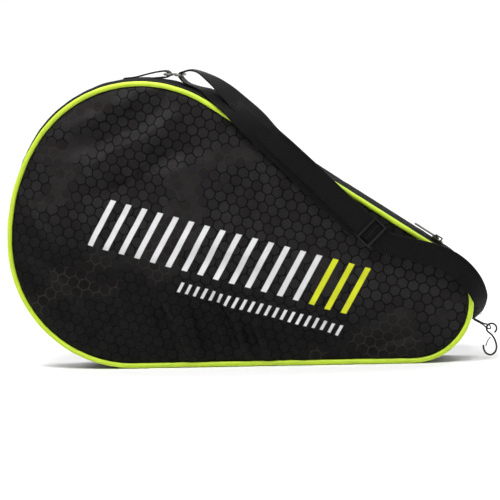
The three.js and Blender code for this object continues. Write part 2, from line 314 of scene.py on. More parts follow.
def unit(vector):
    return vector / np.linalg.norm(vector)


def wire(name, points, radius, material, sides=14, closed=False):
    """A round wire along the points, kept free of twist."""
    points = np.array(points, dtype=float)
    rows = len(points)
    rings = []
    normal = None
    for i in range(rows):
        before = points[i - 1] if closed or i else points[i]
        after = points[(i + 1) % rows] if closed or i < rows - 1 else points[i]
        tangent = unit(after - before)
        if normal is None:
            helper = np.array([0, 1.0, 0]) if abs(tangent[1]) < 0.8 else np.array([1.0, 0, 0])
            normal = unit(np.cross(tangent, helper))
        normal = unit(normal - tangent * (normal @ tangent))
        side = np.cross(tangent, normal)
        size = radius[i] if hasattr(radius, "__len__") else radius
        angles = [2 * math.pi * j / sides for j in range(sides)]
        rings.append([points[i] + size * (math.cos(a) * normal + math.sin(a) * side)
                      for a in angles])
    return loft(name, rings, material, closed)


# ---- node materials ------------------------------------------------------------------------
class Nodes:
    """A material's node tree, with short ways to add maths and textures to it."""

    def __init__(self, name):
        self.material = bpy.data.materials.new(name)
        self.material.use_nodes = True
        self.tree = self.material.node_tree
        self.shader = self.tree.nodes["Principled BSDF"]

    def add(self, kind, inputs=(), **settings):
        made = self.tree.nodes.new(kind)
        for key, value in settings.items():
            setattr(made, key, value)
        for key, value in dict(inputs).items():
            self.put(made.inputs[key], value)
        return made

    def put(self, socket, value):
        if isinstance(value, bpy.types.NodeSocket):
            self.tree.links.new(value, socket)
        else:
            socket.default_value = value

    def math(self, operation, *values):
        return self.add("ShaderNodeMath", enumerate(values), operation=operation).outputs[0]

    def times(self, first, second):
        return self.math("MULTIPLY", first, second)

    def vector(self, operation, *values):
        made = self.add("ShaderNodeVectorMath", enumerate(values), operation=operation)
        return made.outputs["Value" if operation in ("DOT_PRODUCT", "LENGTH") else "Vector"]

    def step(self, value, low, high, start=0.0, end=1.0):
        """Goes smoothly from start to end as the value goes from low to high."""
        return self.add("ShaderNodeMapRange",
                        {"Value": value, "From Min": low, "From Max": high,
                         "To Min": start, "To Max": end},
                        interpolation_type="SMOOTHSTEP").outputs["Result"]

    def noise(self, where, scale, detail=3.0, roughness=0.55):
        return self.add("ShaderNodeTexNoise",
                        {"Vector": where, "Scale": scale, "Detail": detail,
                         "Roughness": roughness}).outputs["Fac"]

    def mix(self, factor, first, second):
        made = self.add("ShaderNodeMix", data_type="RGBA")
        self.put(made.inputs[0], factor)
        self.put(made.inputs[6], first)
        self.put(made.inputs[7], second)
        return made.outputs[2]

    def object_millimetres(self):
        where = self.add("ShaderNodeTexCoord").outputs["Object"]
        return self.vector("MULTIPLY", where, (1000, 1000, 1000))

    def uv(self):
        return self.add("ShaderNodeTexCoord").outputs["UV"]

    def parts(self, vector):
        return self.add("ShaderNodeSeparateXYZ", {0: vector}).outputs

    def wave(self, value, pitch):
        """Runs from 0 to 1 and back, once in each pitch."""
        turned = self.math("SINE", self.math("MULTIPLY", value, 2 * math.pi / pitch))
        return self.math("MULTIPLY_ADD", turned, 0.5, 0.5)

    def bump(self, height, distance, strength=1.0, under=None):
        """Distance is the height of a full step, in millimetres."""
        inputs = {"Height": height, "Distance": distance / 1000, "Strength": strength}
        if under is not None:
            inputs["Normal"] = under
        return self.add("ShaderNodeBump", inputs).outputs["Normal"]

    def finish(self, **sockets):
        for key, value in sockets.items():
            self.put(self.shader.inputs[key.replace("_", " ")], value)
        return self.material


def grey(value, tint=(1.0, 1.0, 1.0)):
    return (value * tint[0], value * tint[1], value * tint[2], 1.0)


def plain_weave(nodes, across, along, pitch):
    """Threads that pass over and under each other, from 0 in a gap to 1 on top."""
    one = nodes.wave(across, pitch)
    two = nodes.wave(along, pitch)
    over = nodes.wave(nodes.math("ADD", across, along), 2 * pitch)
    first = nodes.times(one, over)
    second = nodes.times(two, nodes.math("SUBTRACT", 1.0, over))
    return nodes.math("ADD", first, second)


def tilted(nodes, where):
    """Turns the X-Z plane so that the first part runs along the case's tilted axis."""
    turn = PATTERN_TILT
    u = nodes.vector("DOT_PRODUCT", where, (math.cos(turn), 0, -math.sin(turn)))
    v = nodes.vector("DOT_PRODUCT", where, (math.sin(turn), 0, math.cos(turn)))
    return u, v


def hexagons(nodes, u, v):
    """Distance from the middle of a cell, 0 to 0.5 at its edge, and a number for each cell."""
    tall = math.sqrt(3)
    place_in = nodes.add("ShaderNodeCombineXYZ", {0: nodes.math("DIVIDE", u, HEX_PITCH),
                                                  1: nodes.math("DIVIDE", v, HEX_PITCH)})
    p = place_in.outputs[0]
    half = (0.5, tall / 2, 1)
    low = (-0.5, -tall / 2, -1)
    a = nodes.vector("WRAP", p, half, low)
    b = nodes.vector("WRAP", nodes.vector("SUBTRACT", p, (0.5, tall / 2, 0)), half, low)
    nearer_b = nodes.math("LESS_THAN", nodes.vector("DOT_PRODUCT", b, b),
                          nodes.vector("DOT_PRODUCT", a, a))
    to_b = nodes.vector("SUBTRACT", b, a)
    scaled = nodes.add("ShaderNodeVectorMath", {0: to_b, "Scale": nearer_b}, operation="SCALE")
    g = nodes.vector("ADD", a, scaled.outputs["Vector"])
    away = nodes.vector("ABSOLUTE", g)
    slanted = nodes.vector("DOT_PRODUCT", away, (0.5, tall / 2, 0))
    sharp = nodes.math("SMOOTH_MAX", slanted, nodes.parts(away)[0], 0.14)
    cell = nodes.vector("SUBTRACT", p, g)
    tone = nodes.add("ShaderNodeTexWhiteNoise",
                     {"Vector": nodes.vector("SNAP", nodes.vector("ADD", cell, (0.13, 0.13, 0)),
                                             (0.25, 0.25, 1))},
                     noise_dimensions="2D").outputs["Value"]
    return sharp, tone


def between(nodes, value, low, high, soft=0.35):
    """1 between low and high and 0 outside them, with a soft edge."""
    up = nodes.step(value, low - soft, low + soft)
    down = nodes.step(value, high - soft, high + soft, 1.0, 0.0)
    return nodes.times(up, down)


def bar_row(nodes, u, v, first, last, low, high, pitch, width, lean):
    """A printed row of slanted bars. Everything is in millimetres on the tilted axes."""
    slanted = nodes.math("SUBTRACT", u, nodes.times(v, lean))
    wrapped = nodes.math("WRAP", nodes.math("SUBTRACT", slanted, first), pitch, 0.0)
    bar = between(nodes, wrapped, (pitch - width) / 2, (pitch + width) / 2)
    inside = nodes.times(between(nodes, v, low, high),
                        between(nodes, slanted, first, last, 0.01))
    return nodes.times(bar, inside)


def patterned_fabric(name, printed):
    """Black coated polyester with a honeycomb print, and on the front a print of bars."""
    nodes = Nodes(name)
    where = nodes.object_millimetres()
    u, v = tilted(nodes, where)
    edge, tone = hexagons(nodes, u, v)
    line = nodes.step(edge, 0.43, 0.462)
    threads = plain_weave(nodes, u, v, 0.62)
    drift = nodes.noise(where, 0.012, 2.0)
    slubs = nodes.noise(nodes.vector("MULTIPLY", where, (0.5, 0.5, 1.6)), 0.75, 3.0, 0.7)
    rub = nodes.noise(where, 0.05, 5.0, 0.65)
    cell = nodes.mix(drift, grey(0.008, (1.5, 1.0, 0.75)), grey(0.015, (1.0, 0.96, 1.2)))
    cell = nodes.mix(nodes.times(tone, 0.4), cell, grey(0.042, (1.0, 0.98, 1.06)))
    # Painted shade: the cloth turns darker towards the lower left, across the tilted axis.
    cell = nodes.mix(nodes.step(v, 105, 40, 0.0, 0.8), cell, grey(0.0012))
    cell = nodes.mix(nodes.step(slubs, 0.42, 0.66, 0.0, 0.6), cell, grey(0.014))
    # The printed lines are dark ink; where the drift noise is high they turn lighter and warmer,
    # which is painted sheen.
    ink = nodes.mix(nodes.step(drift, 0.56, 0.60), grey(0.0005), grey(0.022, (1.25, 1.0, 0.75)))
    colour = nodes.mix(line, cell, ink)
    colour = nodes.mix(nodes.times(threads, 0.3), colour, grey(0.004))
    rough = nodes.math("ADD", nodes.step(rub, 0.3, 0.7, 0.38, 0.52),
                       nodes.times(line, 0.14))
    height = nodes.math("MULTIPLY_ADD", line, -1.0, nodes.times(threads, 0.28))
    height = nodes.math("MULTIPLY_ADD", slubs, 0.8, height)
    if printed:
        colour, rough = printed_bars(nodes, u, v, threads, colour, rough)
    normal = nodes.bump(height, 0.2, 0.9)
    crease = nodes.noise(where, 0.09, 4.0, 0.6)
    normal = nodes.bump(crease, 1.3, 0.6, normal)
    return nodes.finish(Base_Color=colour, Roughness=rough, Normal=normal,
                        Specular_IOR_Level=0.08)


def printed_bars(nodes, u, v, threads, colour, rough):
    """White and lime slanted bars in rubbery ink, which wears thin on top of the threads."""
    white = bar_row(nodes, u, v, WHITE_BARS[0], WHITE_BARS[1], *BAR_ROWS[0])
    lime = bar_row(nodes, u, v, WHITE_BARS[1], LIME_END, *BAR_ROWS[0])
    small = bar_row(nodes, u, v, *SMALL_BARS, *BAR_ROWS[1])
    worn = nodes.step(threads, 0.0, 1.0, 0.93, 1.0)
    pale = nodes.mix(threads, grey(0.70), grey(0.78, (1.0, 1.0, 1.02)))
    yellow = nodes.mix(threads, (0.60, 0.66, 0.02, 1), (0.72, 0.77, 0.03, 1))
    ink = nodes.math("MAXIMUM", white, small)
    colour = nodes.mix(nodes.times(ink, worn), colour, pale)
    colour = nodes.mix(nodes.times(lime, worn), colour, yellow)
    inked = nodes.math("MAXIMUM", ink, lime)
    return colour, nodes.mix(inked, rough, grey(0.45))


def woven_black(name, tone, pitch, rough=0.75):
    """Black polyester cloth with a plain weave."""
    nodes = Nodes(name)
    where = nodes.object_millimetres()
    x, y, z = nodes.parts(where)
    along = nodes.math("ADD", x, z)
    threads = plain_weave(nodes, along, y, pitch)
    fade = nodes.noise(where, 0.03, 3.0)
    colour = nodes.mix(threads, grey(tone * 0.5), grey(tone * 1.3))
    colour = nodes.mix(nodes.step(fade, 0.35, 0.7, 0.0, 0.35), colour, grey(tone * 1.9))
    normal = nodes.bump(threads, 0.16, 0.7)
    normal = nodes.bump(nodes.noise(where, 0.2, 4.0), 0.5, 0.45, normal)
    return nodes.finish(Base_Color=colour, Roughness=rough, Normal=normal,
                        Specular_IOR_Level=0.2)


def lime_cloth():
    """Satin tape in lime green, cut on the bias, so its fine ribs run slanted."""
    nodes = Nodes("lime_piping_cloth")
    where = nodes.uv()
    u, v = nodes.parts(where)[:2]
    ribs = nodes.wave(nodes.math("ADD", u, nodes.times(v, 0.9)), 0.55)
    spots = nodes.noise(nodes.object_millimetres(), 0.06, 5.0, 0.6)
    colour = nodes.mix(ribs, (0.46, 0.64, 0.012, 1), (0.60, 0.80, 0.03, 1))
    colour = nodes.mix(nodes.step(spots, 0.45, 0.75, 0.0, 0.4), colour, (0.36, 0.60, 0.02, 1))
    normal = nodes.bump(ribs, 0.07, 0.6)
    normal = nodes.bump(nodes.noise(where, 0.35, 3.0), 0.35, 0.5, normal)
    return nodes.finish(Base_Color=colour, Roughness=0.42, Normal=normal,
                        Sheen_Weight=0.2, Sheen_Roughness=0.35)


def ribbed_webbing(name, tone):
    """Polypropylene webbing: the ribs are in the mesh, and the fine yarns are here, with painted
    shade in the valleys between the ribs.
    """
    nodes = Nodes(name)
    u, v = nodes.parts(nodes.uv())[:2]
    yarn = nodes.wave(v, 0.72)
    rib = nodes.wave(u, RIB_PITCH)
    twill = nodes.wave(nodes.math("ADD", u, nodes.times(v, 0.5)), 0.39)
    fade = nodes.noise(nodes.object_millimetres(), 0.05, 4.0)
    # Painted shade: the valleys between the ribs are near black and the crests lighter.
    colour = nodes.mix(rib, grey(tone * 0.02), grey(tone * 2.2))
    colour = nodes.mix(nodes.times(yarn, 0.2), colour, grey(tone * 1.2))
    colour = nodes.mix(nodes.step(fade, 0.4, 0.75, 0.0, 0.2), colour, grey(tone * 1.6))
    normal = nodes.bump(nodes.math("MULTIPLY_ADD", twill, 0.5, yarn), 0.12, 0.7)
    return nodes.finish(Base_Color=colour, Roughness=0.45, Normal=normal,
                        Specular_IOR_Level=0.07)


def zip_tape_cloth():
    nodes = Nodes("zip_tape_cloth")
    u, v = nodes.parts(nodes.uv())[:2]
    knit = nodes.times(nodes.wave(u, 0.9), nodes.wave(v, 0.6))
    colour = nodes.mix(knit, grey(0.004), grey(0.014))
    normal = nodes.bump(knit, 0.14, 0.7)
    return nodes.finish(Base_Color=colour, Roughness=0.8, Normal=normal,
                        Specular_IOR_Level=0.2)


def moulded(name, tone, rough, grain=0.03):
    """Black moulded plastic: fine moulding grain and faint flow marks."""
    nodes = Nodes(name)
    where = nodes.object_millimetres()
    grainy = nodes.noise(where, 3.0, 3.0, 0.6)
    flow = nodes.noise(where, 0.25, 2.0)
    colour = nodes.mix(flow, grey(tone * 0.8), grey(tone * 1.4))
    shine = nodes.step(flow, 0.3, 0.7, rough * 0.8, rough * 1.25)
    return nodes.finish(Base_Color=colour, Roughness=shine, Specular_IOR_Level=0.3,
                        Normal=nodes.bump(grainy, grain, 0.6))


def metal(name, base, rough):
    """Plated or painted metal with hairline scratches and slightly duller patches."""
    nodes = Nodes(name)
    where = nodes.object_millimetres()
    patches = nodes.noise(where, 0.3, 4.0)
    stretched = nodes.vector("MULTIPLY", where, (0.4, 6.0, 1.2))
    scratches = nodes.noise(stretched, 2.2, 2.0)
    colour = nodes.mix(patches, grey(base * 0.75), grey(base * 1.3, (1.12, 1.0, 0.82)))
    shine = nodes.step(scratches, 0.3, 0.8, rough * 0.75, rough * 1.4)
    return nodes.finish(Base_Color=colour, Metallic=0.95, Roughness=shine,
                        Normal=nodes.bump(scratches, 0.02, 0.5))


def foam_cells():
    """Closed-cell foam: pale, with small pits."""
    nodes = Nodes("foam_cells")
    where = nodes.object_millimetres()
    pits = nodes.add("ShaderNodeTexVoronoi", {"Vector": where, "Scale": 1.4}).outputs["Distance"]
    colour = nodes.mix(pits, grey(0.42), grey(0.66, (1.0, 1.0, 0.97)))
    return nodes.finish(Base_Color=colour, Roughness=0.9, Normal=nodes.bump(pits, 0.3, 0.8))


def lining_cloth():
    """Grey taffeta lining with soft puckers."""
    nodes = Nodes("lining_cloth")
    where = nodes.object_millimetres()
    x, _, z = nodes.parts(where)
    threads = plain_weave(nodes, x, z, 0.5)
    blotches = nodes.noise(where, 0.02, 4.0)
    tone = nodes.mix(blotches, grey(0.035), grey(0.085, (0.98, 1.0, 1.05)))
    colour = nodes.mix(threads, grey(0.02), tone)
    normal = nodes.bump(threads, 0.1, 0.6)
    normal = nodes.bump(nodes.noise(where, 0.06, 4.0), 2.2, 0.8, normal)
    return nodes.finish(Base_Color=colour, Roughness=0.42, Normal=normal, Sheen_Weight=0.3)


def thread():
    nodes = Nodes("sewing_thread")
    where = nodes.object_millimetres()
    ply = nodes.noise(where, 4.0, 2.0)
    colour = nodes.mix(ply, grey(0.010), grey(0.05))
    return nodes.finish(Base_Color=colour, Roughness=0.55, Normal=nodes.bump(ply, 0.06))


def make_materials():
    return {
        "front_skin": patterned_fabric("honeycomb_fabric_printed", True),
        "rear_skin": patterned_fabric("honeycomb_fabric_plain", False),
        "gusset": woven_black("gusset_cloth", 0.004, 0.9),
        "binding": woven_black("binding_cloth", 0.004, 0.7, 0.6),
        "lime": lime_cloth(),
        "webbing": ribbed_webbing("strap_webbing", 0.005),
        "loop_tape": ribbed_webbing("loop_webbing", 0.004),
        "tape": zip_tape_cloth(),
        "coil": moulded("zip_coil_nylon", 0.010, 0.35),
        "plastic": moulded("acetal_plastic", 0.003, 0.2),
        "metal": metal("gunmetal", 0.12, 0.3),
        "wire": moulded("painted_wire", 0.010, 0.25, 0.02),
        "foam": foam_cells(),
        "lining": lining_cloth(),
        "thread": thread(),
    }


# ---- panels --------------------------------------------------------------------------------
def fold_height(x, z, folds):
    """The height that the folds add at each point."""
    height = np.zeros(len(x))
    for (x0, z0), (x1, z1), width, rise in folds:
        dx, dz = x1 - x0, z1 - z0
        length = math.hypot(dx, dz)
        along = ((x - x0) * dx + (z - z0) * dz) / length
        aside = ((x - x0) * dz - (z - z0) * dx) / length
        aside = aside + 0.05 * length * np.sin(math.pi * np.clip(along / length, 0, 1))
        ends = ease(along, -0.25 * length, 0.3 * length) * (
            1 - ease(along, 0.7 * length, 1.25 * length))
        crest = np.exp(-np.abs(aside / width) ** 1.5)
        dent = 0.65 * np.exp(-(((aside - 1.5 * width) / (0.9 * width)) ** 2))
        height += FOLD_RISE * rise * ends * (crest - dent)
    return height


def buckles(x, z, seed):
    """Small irregular waves that run across the case, as coated cloth over foam makes."""
    turn = math.radians(38)
    u = x * math.cos(turn) + z * math.sin(turn)
    v = -x * math.sin(turn) + z * math.cos(turn)
    large = [noise.noise((a / 34, b / 62, seed)) for a, b in zip(u, v)]
    small = [noise.noise((a / 13, b / 24, seed + 7)) for a, b in zip(u, v)]
    return 3.0 * np.array(large) + 1.4 * np.array(small)


def seam_puckers(walk, inset, seed):
    """Short gathers that run in from the seam and fade out."""
    wave = np.array([noise.noise((w / 7.5, seed, 0.3)) for w in walk])
    return 0.8 * wave * np.exp(-((inset - 9) / 8) ** 2)


def panel_points(count, rows):
    """Rings of (x, z, walk, inset): close together at the rim, then shrinking on to the axis."""
    near = [PANEL_INSET + step for step in (0, 0.5, 1.1, 1.9, 3.0, 4.4, 6.2, 8.6)]
    axis_start, axis_end = np.array([12.0, 128.0]), np.array([252.0, 58.0])
    axis = axis_end - axis_start
    rings = []
    for inset in near:
        rings.append([(*rim(i * RIM_LENGTH / count, inset)[:2], i * RIM_LENGTH / count)
                      for i in range(count)])
    for row in range(1, rows + 1):
        t = row / rows
        ring = []
        for x, z, walk in rings[len(near) - 1]:
            t_axis = np.clip(((x, z) - axis_start) @ axis / (axis @ axis), 0, 1)
            target = axis_start + axis * t_axis
            ring.append((x + (target[0] - x) * t, z + (target[1] - z) * t, walk))
        rings.append(ring)
    return np.array(rings)


PANEL_COUNT = 520
PANEL_ROWS = 54
PANEL = panel_points(PANEL_COUNT, PANEL_ROWS)
PANEL_X, PANEL_Z, PANEL_WALK = (PANEL[:, :, k].ravel() for k in range(3))
PANEL_DEPTH = depth_inside(PANEL_X, PANEL_Z)


def strap_shadow(x, z):
    """1 where the strap lies close over the front, so that the cloth stays flat under it."""
    from_axis = (x - 131) * 0.72 + (z - 211) * 0.694
    return ease(from_axis, -34, -8)


def panel_relief(folds, belly, seed, flatten):
    """How far each panel point stands out from the plane of the CAD skin's face."""
    roll = -3.0 * np.exp(-((PANEL_DEPTH - PANEL_INSET) / 3.4))
    full = belly * (1 - np.exp(-PANEL_DEPTH / 42))
    inner = ease(PANEL_DEPTH, PANEL_INSET + 1, 26)
    waves = fold_height(PANEL_X, PANEL_Z, folds) + buckles(PANEL_X, PANEL_Z, seed)
    puckers = seam_puckers(PANEL_WALK, PANEL_DEPTH, seed)
    relief = roll + full + waves * (0.25 + 0.75 * inner) + puckers * ease(
        PANEL_DEPTH, PANEL_INSET, PANEL_INSET + 3)
    if flatten:
        calm = strap_shadow(PANEL_X, PANEL_Z)
        relief = relief * (1 - 0.6 * calm) + roll * 0.6 * calm
        relief = np.minimum(relief, 8.5 - 6.6 * calm)
    return soft_floor(relief, -2.8)


def soft_floor(values, lowest):
    """Rounds off whatever falls below the lowest value, without a crease."""
    above = (values - lowest) / 1.2
    return lowest + 1.2 * np.where(above > 20, above, np.log1p(np.exp(np.minimum(above, 20))))


def layer(name, side, outer, inner, trim, material):
    """A closed layer of the shell between two distances from the middle plane."""
    rows = len(PANEL)
    x, z = PANEL_X.copy(), PANEL_Z.copy()
    if trim:
        heading = np.array([rim(w, 0)[2] for w in PANEL_WALK])
        pull = trim * np.exp(-(PANEL_DEPTH - PANEL_INSET) / 4)
        x -= pull * np.sin(heading)
        z += pull * np.cos(heading)
    points = [(a, side * b, c) for a, b, c in zip(x, outer, z)]
    points += [(a, side * b, c) for a, b, c in zip(x, inner, z)]
    size = len(x)
    faces = grid_faces(rows, PANEL_COUNT, closed_columns=True)
    back = [tuple(i + size for i in reversed(f)) for f in faces]
    edge = [(i, size + i, size + (i + 1) % PANEL_COUNT, (i + 1) % PANEL_COUNT)
            for i in range(PANEL_COUNT)]
    piece = build(name, points, faces + back + edge, material)
    weld(piece)
    face_outwards(piece)
    return piece


def weld(piece):
    """Closes the slit where the rings meet on the axis."""
    select([piece])
    bpy.ops.object.mode_set(mode="EDIT")
    bpy.ops.mesh.select_all(action="SELECT")
    bpy.ops.mesh.remove_doubles(threshold=0.00005)
    bpy.ops.mesh.dissolve_degenerate(threshold=0.00002)
    bpy.ops.object.mode_set(mode="OBJECT")


def make_shell(side, name, body, folds, belly, seed, materials):
    """Outer fabric, foam and lining of one side, each in the place of its CAD solid."""
    relief = panel_relief(folds, belly, seed, side < 0)
    face = SKIN_FACE + relief
    skin = layer(f"{name}_panel_fabric", side, face, face - SKIN_THICK * 0.8, 0,
                 materials[f"{name}_skin"])
    foam_face = face - SKIN_THICK - 0.2
    foam_back = np.minimum(FOAM_BACK, foam_face - 0.5)
    foam = layer(f"{name}_padding", side, foam_face, foam_back, 1.0, materials["foam"])
    sag = np.array([0.9 * noise.noise((x / 26, z / 17, seed + 3))
                    + 0.45 * noise.noise((x / 9, z / 13, seed + 6))
                    for x, z in zip(PANEL_X, PANEL_Z)])
    lining_face = np.minimum(LINING_FACE + 1.3 * sag, FOAM_BACK - 0.75)
    lining = layer(f"{name}_lining_cloth", side, lining_face + 0.7, lining_face, 1.0,
                   materials["lining"])
    for piece, node, slot in ((skin, "outer_panel", "patterned_fabric"),
                              (foam, "foam_pad", "foam"), (lining, "lining", "lining")):
        stand_in(piece, slot, body, f"{name}_{node}")


# ---- seams ---------------------------------------------------------------------------------
def seam_cord(name, y, joint, material, seed, lap=16.0):
    """A cord in bias tape round the whole rim. Its two ends cross over at the joint."""
    start = joint - lap / 2
    length = RIM_LENGTH + lap
    steps = round(length / 1.4)
    outwards = 1 if y > 0 else -1
    points, sizes = [], []
    for i in range(steps + 1):
        walk = length * i / steps
        from_end = min(walk, length - walk)
        dive = 1 - ease(np.array(from_end), 0, lap * 0.9)
        wobble = 0.22 * noise.noise((walk / 19, seed, 0)) + 0.12 * noise.noise((walk / 6, seed, 5))
        inset = CORD + 0.3 + wobble * (1 - dive)
        depth = y + outwards * 0.25 * noise.noise((walk / 23, seed, 9))
        if walk < length / 2:
            inset += 1.2 * dive
            depth -= outwards * 2.3 * dive
        x, z, _ = rim(start + walk, inset)
        points.append((x, depth, z))
        sizes.append(CORD * (1 + 0.05 * noise.noise((walk / 11, seed, 2))) * (1 - 0.3 * dive))
    return wire(name, points, sizes, material, sides=18)


def rim_band(name, walk_from, walk_to, profile, material, seed, ripple=0.25, swell=0.0,
             pitch=1.6):
    """A strip of cloth along the rim. The profile is a closed ring of (y, inset, freedom)."""
    steps = max(2, round((walk_to - walk_from) / pitch))
    rings = []
    for i in range(steps + 1):
        walk = walk_from + (walk_to - walk_from) * i / steps
        puff = swell * float(gusset_swell(rim(walk, 0)[1]))
        ring = []
        for y, inset, free in profile:
            move = free * (ripple * noise.noise((walk / 9, y / 6, seed)) - puff)
            x, z, _ = rim(walk, inset + move)
            ring.append((x, y, z))
        rings.append(ring)
    return loft(name, rings, material)


def band_profile(near, far, inset, thick, bulge, side):
    """A thin cross-section from `near` to `far` that bows outwards in its middle."""
    outer, inner = [], []
    for i in range(9):
        t = i / 8
        y = side * (near + (far - near) * t)
        bow = bulge * math.sin(math.pi * t)
        free = math.sin(math.pi * t)
        outer.append((y, inset - bow, free))
        inner.append((y, inset + thick - bow * 0.6, free))
    return outer + inner[::-1]


def gusset_swell(z):
    """How far the padded gusset puffs out over the top of the head, at its fullest."""
    return 2.6 * ease(np.array(z), 150, 225)


def stitch_row(name, walk_from, walk_to, y, inset, material, lift=0.0, pitch=3.2):
    """A row of lockstitches that lie on the cloth, each sunk at both ends."""
    count = int((walk_to - walk_from) / pitch)
    points, faces = [], []
    for i in range(count):
        middle = walk_from + (i + 0.5) * pitch
        first = len(points)
        for shift, size, sink in ((-1.15, 0.05, 0.25), (-0.7, 0.24, 0.02), (0.7, 0.24, 0.02),
                                  (1.15, 0.05, 0.25)):
            for j in range(6):
                angle = 2 * math.pi * j / 6
                raised = inset - lift * gusset_swell(rim(middle, 0)[1])
                x, z, _ = rim(middle + shift, raised + sink - size * math.sin(angle) * 0.7)
                points.append((x, y + size * math.cos(angle), z))
        faces += grid_faces(4, 6, closed_columns=True, first=first)
    return build(name, points, faces, material)


def zip_coil(name, side, walk_from, walk_to, material):
    """A nylon coil: one fine helix whose turns are the zip's teeth."""
    pitch, steps = 1.5, 9
    count = int((walk_to - walk_from) / pitch * steps)
    points = []
    for i in range(count + 1):
        turn = 2 * math.pi * i / steps
        walk = walk_from + pitch * i / steps
        y = side * (0.72 + 0.78 * math.cos(turn + (math.pi if side > 0 else 0)))
        x, z, _ = rim(walk, 1.15 - 0.85 * math.sin(turn))
        points.append((x, y, z))
    return wire(name, points, 0.27, material, sides=5)


def make_rim(materials):
    """Piping, binding, both gusset bands, the zip tapes with their coils, and the base."""
    piping = seam_cord("lime_piping_cord", -SEAM_Y, 205.0, materials["lime"], 4.0)
    stand_in(piping, "lime_piping", "front_cover", "front_piping")
    binding = seam_cord("rear_binding_cord", SEAM_Y, 150.0, materials["binding"], 8.0)
    stand_in(binding, "black_binding", "rear_shell", "rear_binding")
    for side, name, body in ((-1, "front", "front_cover"), (1, "rear", "rear_shell")):
        make_gusset_half(side, name, body, materials)
    base = rim_band("bottom_gusset_cloth", 0.6, LOWER_SIDE - 0.6,
                    [(y, inset + 0.35, free) for y, inset, free in
                     band_profile(-13.9, 13.9, 0.0, 1.1, -0.3, 1)],
                    materials["gusset"], 11, 0.2)
    edges = [stitch_row(f"base_stitches_{k}", 3, LOWER_SIDE - 3, side * 11.6, 0.42,
                        materials["thread"]) for k, side in enumerate((-1, 1))]
    base = joined("bottom_gusset_cloth", [base, *edges])
    stand_in(base, "gusset_fabric", "rear_shell", "bottom_gusset")


def make_gusset_half(side, name, body, materials):
    first, last = LOWER_SIDE, RIM_LENGTH
    band = rim_band(f"{name}_gusset_cloth", first, last,
                    band_profile(TAPE_EDGE - 0.6, 14.4, 1.0, 1.0, 0.75, side),
                    materials["gusset"], 20 + side, 0.5, 1.0)
    rows = [stitch_row(f"{name}_gusset_stitches_{k}", first + 4, last - 4, side * y, inset,
                       materials["thread"], lift)
            for k, (y, inset, lift) in enumerate(((6.4, 0.72, 0.34), (12.9, 0.62, 0.5)))]
    band = joined(f"{name}_gusset_cloth", [band, *rows])
    tape = rim_band(f"{name}_zip_tape_cloth", first + 1, last - 1,
                    band_profile(ZIP_HALF - 0.2, TAPE_EDGE - 0.2, 1.35, 0.7, 0.05, side),
                    materials["tape"], 30 + side, 0.1)
    coil = zip_coil(f"{name}_zip_coil_turns", side, first + 4, last - 4, materials["coil"])
    for piece, node, slot in ((band, "gusset_band", "gusset_fabric"),
                              (tape, "zip_tape", "zip_tape"), (coil, "zip_coil", "zip_nylon")):
        stand_in(piece, slot, body, f"{name}_{node}")


# ---- straps --------------------------------------------------------------------------------
def ribbon(name, route, width, thick, material, rib=0.34, steps=24):
    """Webbing along a route of (x, y, z, twist). With no twist its width lies along Y."""
    path = evenly(spline(route, steps), RIB_PITCH / 4)
    path[:, 3] = softened(path[:, 3], 24)
    rows = len(path)
    rings = []
    for i in range(rows):
        before, after = path[max(i - 1, 0)], path[min(i + 1, rows - 1)]
        tangent = unit(after[:3] - before[:3])
        outward = unit(np.cross(tangent, (0, 1, 0)))
        depth = unit(np.cross(outward, tangent))
        twist = math.radians(path[i][3])
        across = depth * math.cos(twist) + outward * math.sin(twist)
        lift = unit(np.cross(tangent, across))
        swell = rib * (0.5 + 0.5 * math.cos(2 * math.pi * i / 4))
        rings.append(webbing_section(path[i][:3], across, lift, width, thick, swell))
    return loft(name, rings, material)


def softened(values, window):
    """A running average that leaves both ends as they are."""
    weights = np.hanning(window + 2)[1:-1]
    padded = np.pad(values, window // 2, mode="edge")
    return np.convolve(padded, weights / weights.sum(), mode="same")[
        window // 2:window // 2 + len(values)]


def webbing_section(centre, across, lift, width, thick, swell):
    """A flat section with rolled selvedges. `swell` is the height of the rib there."""
    ring = []
    places = (-1.0, -0.93, -0.8, -0.45, 0.0, 0.45, 0.8, 0.93, 1.0)
    for sign, order in ((1, places), (-1, places[::-1])):
        for place_across in order:
            edge = abs(place_across)
            half = thick / 2 * (0.45 if edge == 1 else 0.94)
            half += swell * (0.5 if edge == 1 else 1.0) - 0.08
            ring.append(centre + across * (place_across * width / 2) + lift * (sign * half))
    return ring


def box_stitch(name, centre, along, across, lift, length, width, material):
    """A sewn box with a cross in it, as stitches on a strap's face."""
    a, b = length / 2, width / 2
    lines = [((-a, -b), (a, -b)), ((a, -b), (a, b)), ((a, b), (-a, b)), ((-a, b), (-a, -b)),
             ((-a, -b), (a, b)), ((-a, b), (a, -b))]
    pieces = []
    for start, end in lines:
        start, end = np.array(start), np.array(end)
        count = max(2, int(np.linalg.norm(end - start) / 2.4))
        for i in range(count):
            t0, t1 = (i + 0.12) / count, (i + 0.88) / count
            marks = [start + (end - start) * t for t in (t0, (t0 + t1) / 2, t1)]
            rise = (-0.05, 0.16, -0.05)
            pieces.append([centre + along * m[0] + across * m[1] + lift * h
                           for m, h in zip(marks, rise)])
    return joined(name, [wire(f"{name}_{k}", p, 0.2, material, sides=6)
                         for k, p in enumerate(pieces)])


